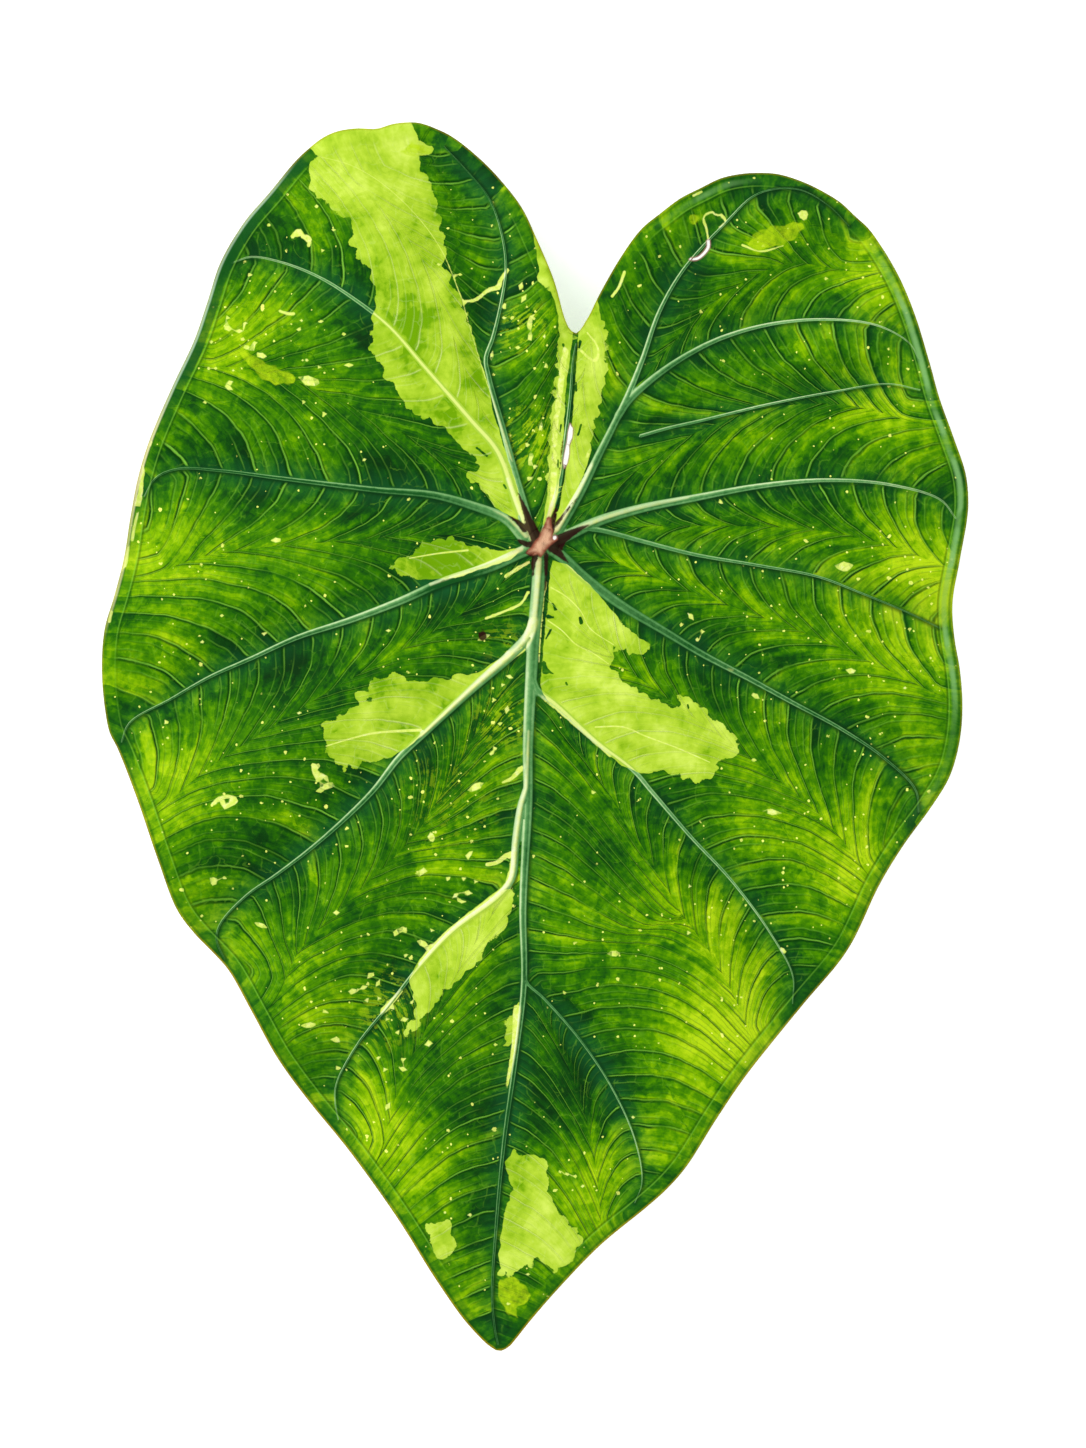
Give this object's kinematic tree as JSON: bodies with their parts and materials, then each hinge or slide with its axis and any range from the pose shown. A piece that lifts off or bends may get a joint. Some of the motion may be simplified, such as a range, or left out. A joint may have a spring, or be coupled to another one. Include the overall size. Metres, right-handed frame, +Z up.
{
  "type": "variegated colocasia leaf",
  "caption": "One picked heart-shaped colocasia leaf, lime and deep green, with raised ribs, a waved margin and a short stalk, lying face up.",
  "frame": {"origin": "on the surface that the leaf lies on, below the middle of the blade's outline", "axes": "+Y from the tip towards the two basal lobes, +Z up out of the upper face, +X to the right seen from above"},
  "size_m": [0.2166, 0.3076, 0.022],
  "materials": {
    "blade": "satin",
    "stalk": "satin"
  },
  "bodies": {
    "root": {"leaf_blade": "blade", "petiole": "stalk"}
  },
  "joints": []
}
